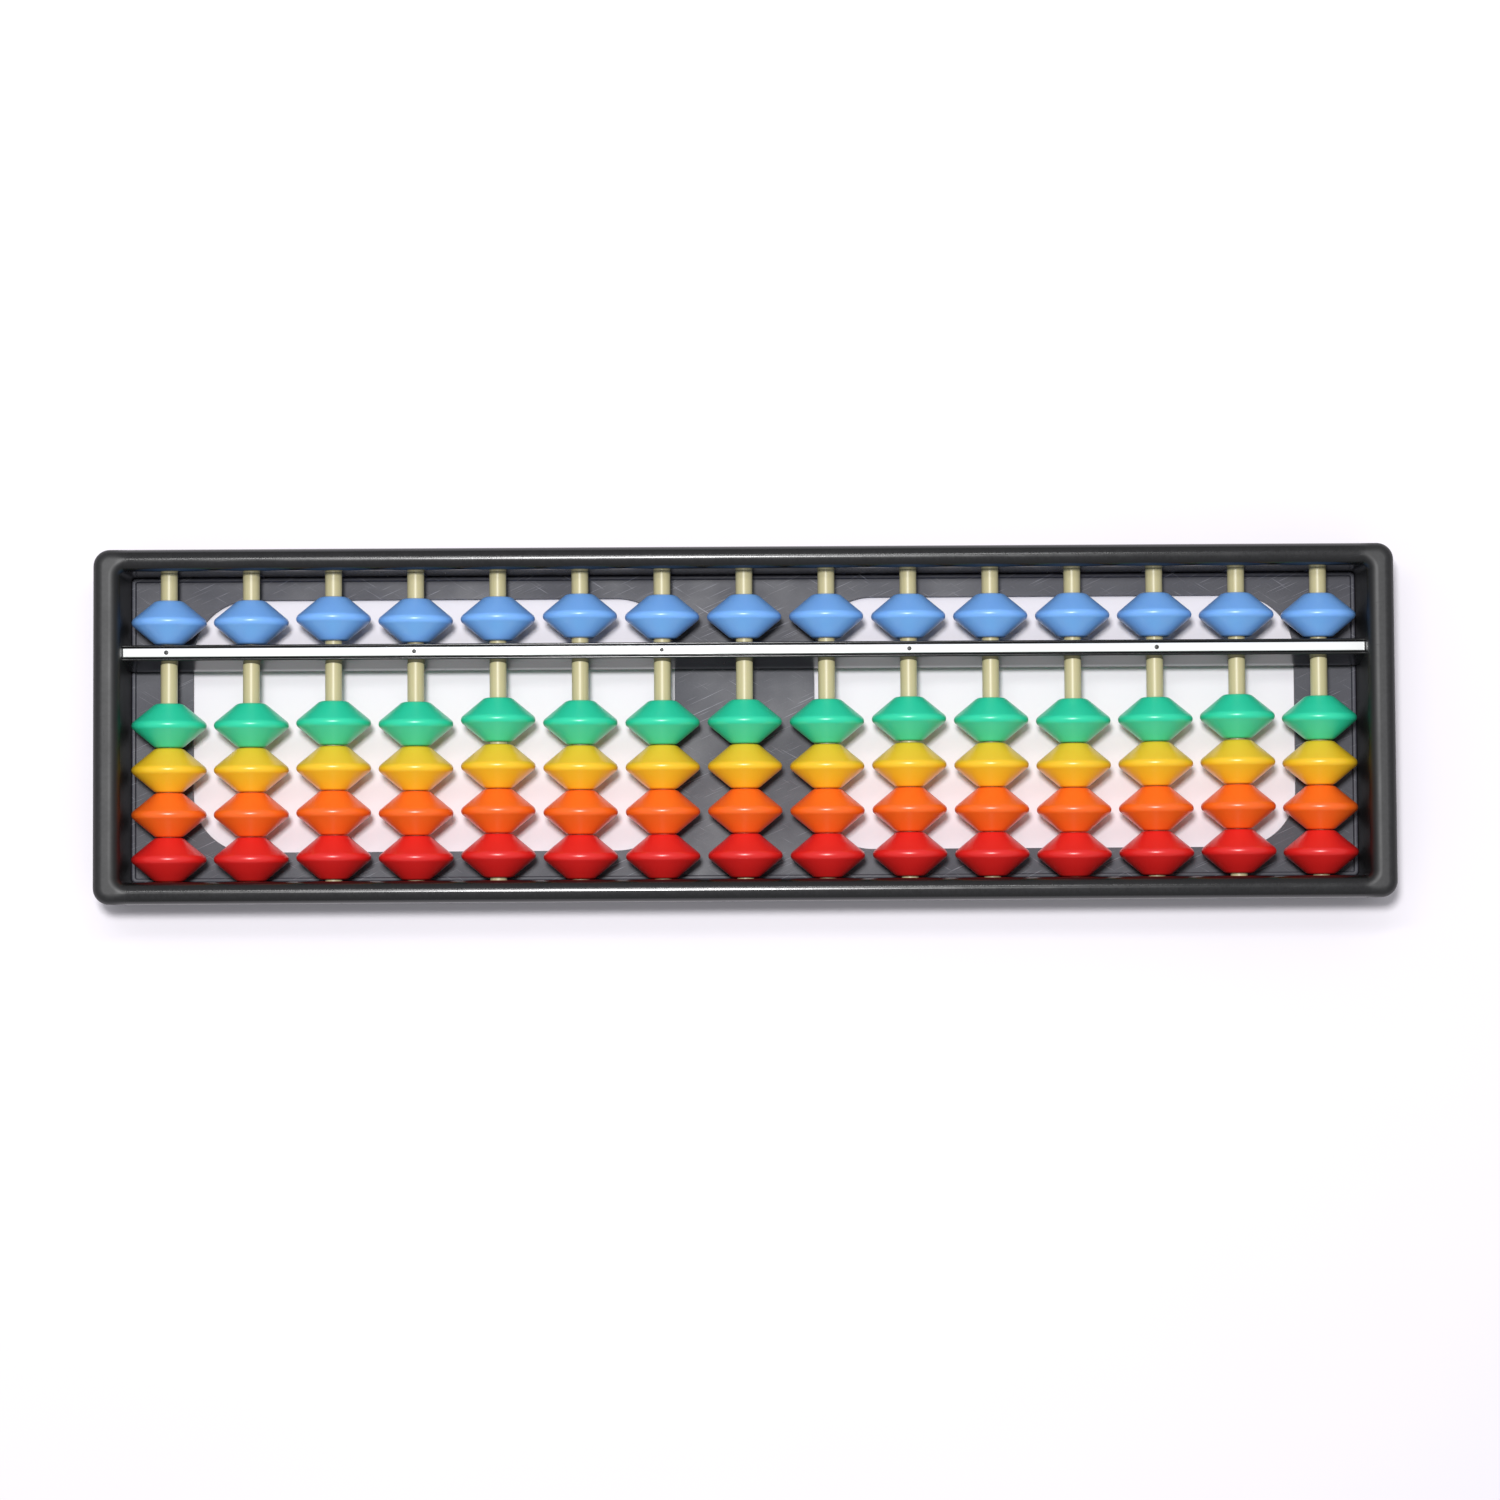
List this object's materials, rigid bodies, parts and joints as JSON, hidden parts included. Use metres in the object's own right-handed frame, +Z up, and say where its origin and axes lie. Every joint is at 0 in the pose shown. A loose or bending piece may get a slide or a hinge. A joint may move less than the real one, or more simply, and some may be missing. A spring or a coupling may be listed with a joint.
{
  "type": "abacus",
  "caption": "Flat student's abacus: a shallow rimmed tray with a reckoning beam, thin rods and double-cone beads in five colours, and a windowed back plate.",
  "frame": {"origin": "middle of the underside, where it lies on the table", "axes": "+X along the rail, left to right for the user; +Y from the user's near rail to the far rail; +Z up"},
  "size_m": [0.275, 0.075, 0.019],
  "materials": {
    "black_abs": "moulded, satin to glossy black",
    "grey_abs": "moulded, satin dark grey",
    "white_strip": "glossy white",
    "black_pins": "black",
    "cream_rods": "satin, cream like bamboo",
    "blue_beads": "glossy blue",
    "green_beads": "glossy green",
    "orange_beads": "glossy; in each group of three the far bead is yellow, the middle one orange and the near one red"
  },
  "bodies": {
    "frame": {"frame_rim": "black_abs", "back_plate": "grey_abs", "reckoning_beam": "black_abs", "beam_strip": "white_strip", "unit_point_pins": "black_pins", "rods": "cream_rods"},
    "heaven_bead_01": {"heaven_bead_01": "blue_beads"},
    "lower_earth_beads_01": {"lower_earth_beads_01": "orange_beads"},
    "first_earth_bead_01": {"first_earth_bead_01": "green_beads"},
    "heaven_bead_02": {"heaven_bead_02": "blue_beads"},
    "lower_earth_beads_02": {"lower_earth_beads_02": "orange_beads"},
    "first_earth_bead_02": {"first_earth_bead_02": "green_beads"},
    "heaven_bead_03": {"heaven_bead_03": "blue_beads"},
    "lower_earth_beads_03": {"lower_earth_beads_03": "orange_beads"},
    "first_earth_bead_03": {"first_earth_bead_03": "green_beads"},
    "heaven_bead_04": {"heaven_bead_04": "blue_beads"},
    "lower_earth_beads_04": {"lower_earth_beads_04": "orange_beads"},
    "first_earth_bead_04": {"first_earth_bead_04": "green_beads"},
    "heaven_bead_05": {"heaven_bead_05": "blue_beads"},
    "lower_earth_beads_05": {"lower_earth_beads_05": "orange_beads"},
    "first_earth_bead_05": {"first_earth_bead_05": "green_beads"},
    "heaven_bead_06": {"heaven_bead_06": "blue_beads"},
    "lower_earth_beads_06": {"lower_earth_beads_06": "orange_beads"},
    "first_earth_bead_06": {"first_earth_bead_06": "green_beads"},
    "heaven_bead_07": {"heaven_bead_07": "blue_beads"},
    "lower_earth_beads_07": {"lower_earth_beads_07": "orange_beads"},
    "first_earth_bead_07": {"first_earth_bead_07": "green_beads"},
    "heaven_bead_08": {"heaven_bead_08": "blue_beads"},
    "lower_earth_beads_08": {"lower_earth_beads_08": "orange_beads"},
    "first_earth_bead_08": {"first_earth_bead_08": "green_beads"},
    "heaven_bead_09": {"heaven_bead_09": "blue_beads"},
    "lower_earth_beads_09": {"lower_earth_beads_09": "orange_beads"},
    "first_earth_bead_09": {"first_earth_bead_09": "green_beads"},
    "heaven_bead_10": {"heaven_bead_10": "blue_beads"},
    "lower_earth_beads_10": {"lower_earth_beads_10": "orange_beads"},
    "first_earth_bead_10": {"first_earth_bead_10": "green_beads"},
    "heaven_bead_11": {"heaven_bead_11": "blue_beads"},
    "lower_earth_beads_11": {"lower_earth_beads_11": "orange_beads"},
    "first_earth_bead_11": {"first_earth_bead_11": "green_beads"},
    "heaven_bead_12": {"heaven_bead_12": "blue_beads"},
    "lower_earth_beads_12": {"lower_earth_beads_12": "orange_beads"},
    "first_earth_bead_12": {"first_earth_bead_12": "green_beads"},
    "heaven_bead_13": {"heaven_bead_13": "blue_beads"},
    "lower_earth_beads_13": {"lower_earth_beads_13": "orange_beads"},
    "first_earth_bead_13": {"first_earth_bead_13": "green_beads"},
    "heaven_bead_14": {"heaven_bead_14": "blue_beads"},
    "lower_earth_beads_14": {"lower_earth_beads_14": "orange_beads"},
    "first_earth_bead_14": {"first_earth_bead_14": "green_beads"},
    "heaven_bead_15": {"heaven_bead_15": "blue_beads"},
    "lower_earth_beads_15": {"lower_earth_beads_15": "orange_beads"},
    "first_earth_bead_15": {"first_earth_bead_15": "green_beads"}
  },
  "joints": [
    {"name": "heaven_slide_01", "type": "slide", "parent": "frame", "child": "heaven_bead_01", "axis": [0, 1, 0], "range_m": [0, 0.0056]},
    {"name": "lower_earth_slide_01", "type": "slide", "parent": "frame", "child": "lower_earth_beads_01", "axis": [0, -1, 0], "range_m": [-0.0072, 0]},
    {"name": "first_earth_slide_01", "type": "slide", "parent": "lower_earth_beads_01", "child": "first_earth_bead_01", "axis": [0, 1, 0], "range_m": [0, 0.0072]},
    {"name": "heaven_slide_02", "type": "slide", "parent": "frame", "child": "heaven_bead_02", "axis": [0, 1, 0], "range_m": [0, 0.0056]},
    {"name": "lower_earth_slide_02", "type": "slide", "parent": "frame", "child": "lower_earth_beads_02", "axis": [0, -1, 0], "range_m": [-0.0072, 0]},
    {"name": "first_earth_slide_02", "type": "slide", "parent": "lower_earth_beads_02", "child": "first_earth_bead_02", "axis": [0, 1, 0], "range_m": [0, 0.0072]},
    {"name": "heaven_slide_03", "type": "slide", "parent": "frame", "child": "heaven_bead_03", "axis": [0, 1, 0], "range_m": [-0.0007, 0.0049]},
    {"name": "lower_earth_slide_03", "type": "slide", "parent": "frame", "child": "lower_earth_beads_03", "axis": [0, -1, 0], "range_m": [-0.0068, 0.0003]},
    {"name": "first_earth_slide_03", "type": "slide", "parent": "lower_earth_beads_03", "child": "first_earth_bead_03", "axis": [0, 1, 0], "range_m": [-0.0001, 0.0068]},
    {"name": "heaven_slide_04", "type": "slide", "parent": "frame", "child": "heaven_bead_04", "axis": [0, 1, 0], "range_m": [-0.0002, 0.0054]},
    {"name": "lower_earth_slide_04", "type": "slide", "parent": "frame", "child": "lower_earth_beads_04", "axis": [0, -1, 0], "range_m": [-0.0071, 0.0001]},
    {"name": "first_earth_slide_04", "type": "slide", "parent": "lower_earth_beads_04", "child": "first_earth_bead_04", "axis": [0, 1, 0], "range_m": [0, 0.0071]},
    {"name": "heaven_slide_05", "type": "slide", "parent": "frame", "child": "heaven_bead_05", "axis": [0, 1, 0], "range_m": [-0.0005, 0.0051]},
    {"name": "lower_earth_slide_05", "type": "slide", "parent": "frame", "child": "lower_earth_beads_05", "axis": [0, -1, 0], "range_m": [-0.0063, 0.0005]},
    {"name": "first_earth_slide_05", "type": "slide", "parent": "lower_earth_beads_05", "child": "first_earth_bead_05", "axis": [0, 1, 0], "range_m": [-0.0004, 0.0063]},
    {"name": "heaven_slide_06", "type": "slide", "parent": "frame", "child": "heaven_bead_06", "axis": [0, 1, 0], "range_m": [-0.001, 0.0046]},
    {"name": "lower_earth_slide_06", "type": "slide", "parent": "frame", "child": "lower_earth_beads_06", "axis": [0, -1, 0], "range_m": [-0.007, 0.0001]},
    {"name": "first_earth_slide_06", "type": "slide", "parent": "lower_earth_beads_06", "child": "first_earth_bead_06", "axis": [0, 1, 0], "range_m": [-0.0001, 0.007]},
    {"name": "heaven_slide_07", "type": "slide", "parent": "frame", "child": "heaven_bead_07", "axis": [0, 1, 0], "range_m": [-0.0007, 0.0049]},
    {"name": "lower_earth_slide_07", "type": "slide", "parent": "frame", "child": "lower_earth_beads_07", "axis": [0, -1, 0], "range_m": [-0.0071, 0.0001]},
    {"name": "first_earth_slide_07", "type": "slide", "parent": "lower_earth_beads_07", "child": "first_earth_bead_07", "axis": [0, 1, 0], "range_m": [0, 0.0071]},
    {"name": "heaven_slide_08", "type": "slide", "parent": "frame", "child": "heaven_bead_08", "axis": [0, 1, 0], "range_m": [-0.0007, 0.0049]},
    {"name": "lower_earth_slide_08", "type": "slide", "parent": "frame", "child": "lower_earth_beads_08", "axis": [0, -1, 0], "range_m": [-0.007, 0.0002]},
    {"name": "first_earth_slide_08", "type": "slide", "parent": "lower_earth_beads_08", "child": "first_earth_bead_08", "axis": [0, 1, 0], "range_m": [0, 0.007]},
    {"name": "heaven_slide_09", "type": "slide", "parent": "frame", "child": "heaven_bead_09", "axis": [0, 1, 0], "range_m": [-0.0007, 0.0049]},
    {"name": "lower_earth_slide_09", "type": "slide", "parent": "frame", "child": "lower_earth_beads_09", "axis": [0, -1, 0], "range_m": [-0.007, 0.0001]},
    {"name": "first_earth_slide_09", "type": "slide", "parent": "lower_earth_beads_09", "child": "first_earth_bead_09", "axis": [0, 1, 0], "range_m": [-0.0001, 0.007]},
    {"name": "heaven_slide_10", "type": "slide", "parent": "frame", "child": "heaven_bead_10", "axis": [0, 1, 0], "range_m": [-0.0006, 0.005]},
    {"name": "lower_earth_slide_10", "type": "slide", "parent": "frame", "child": "lower_earth_beads_10", "axis": [0, -1, 0], "range_m": [-0.0066, 0.0003]},
    {"name": "first_earth_slide_10", "type": "slide", "parent": "lower_earth_beads_10", "child": "first_earth_bead_10", "axis": [0, 1, 0], "range_m": [-0.0003, 0.0066]},
    {"name": "heaven_slide_11", "type": "slide", "parent": "frame", "child": "heaven_bead_11", "axis": [0, 1, 0], "range_m": [-0.0006, 0.005]},
    {"name": "lower_earth_slide_11", "type": "slide", "parent": "frame", "child": "lower_earth_beads_11", "axis": [0, -1, 0], "range_m": [-0.0069, 0.0002]},
    {"name": "first_earth_slide_11", "type": "slide", "parent": "lower_earth_beads_11", "child": "first_earth_bead_11", "axis": [0, 1, 0], "range_m": [-0.0001, 0.0069]},
    {"name": "heaven_slide_12", "type": "slide", "parent": "frame", "child": "heaven_bead_12", "axis": [0, 1, 0], "range_m": [-0.0006, 0.005]},
    {"name": "lower_earth_slide_12", "type": "slide", "parent": "frame", "child": "lower_earth_beads_12", "axis": [0, -1, 0], "range_m": [-0.0072, 0]},
    {"name": "first_earth_slide_12", "type": "slide", "parent": "lower_earth_beads_12", "child": "first_earth_bead_12", "axis": [0, 1, 0], "range_m": [0, 0.0072]},
    {"name": "heaven_slide_13", "type": "slide", "parent": "frame", "child": "heaven_bead_13", "axis": [0, 1, 0], "range_m": [-0.0006, 0.005]},
    {"name": "lower_earth_slide_13", "type": "slide", "parent": "frame", "child": "lower_earth_beads_13", "axis": [0, -1, 0], "range_m": [-0.007, 0.0002]},
    {"name": "first_earth_slide_13", "type": "slide", "parent": "lower_earth_beads_13", "child": "first_earth_bead_13", "axis": [0, 1, 0], "range_m": [0, 0.007]},
    {"name": "heaven_slide_14", "type": "slide", "parent": "frame", "child": "heaven_bead_14", "axis": [0, 1, 0], "range_m": [-0.0005, 0.0051]},
    {"name": "lower_earth_slide_14", "type": "slide", "parent": "frame", "child": "lower_earth_beads_14", "axis": [0, -1, 0], "range_m": [-0.0065, 0.0005]},
    {"name": "first_earth_slide_14", "type": "slide", "parent": "lower_earth_beads_14", "child": "first_earth_bead_14", "axis": [0, 1, 0], "range_m": [-0.0002, 0.0065]},
    {"name": "heaven_slide_15", "type": "slide", "parent": "frame", "child": "heaven_bead_15", "axis": [0, 1, 0], "range_m": [-0.0003, 0.0053]},
    {"name": "lower_earth_slide_15", "type": "slide", "parent": "frame", "child": "lower_earth_beads_15", "axis": [0, -1, 0], "range_m": [-0.0069, 0.0002]},
    {"name": "first_earth_slide_15", "type": "slide", "parent": "lower_earth_beads_15", "child": "first_earth_bead_15", "axis": [0, 1, 0], "range_m": [-0.0001, 0.0069]}
  ]
}
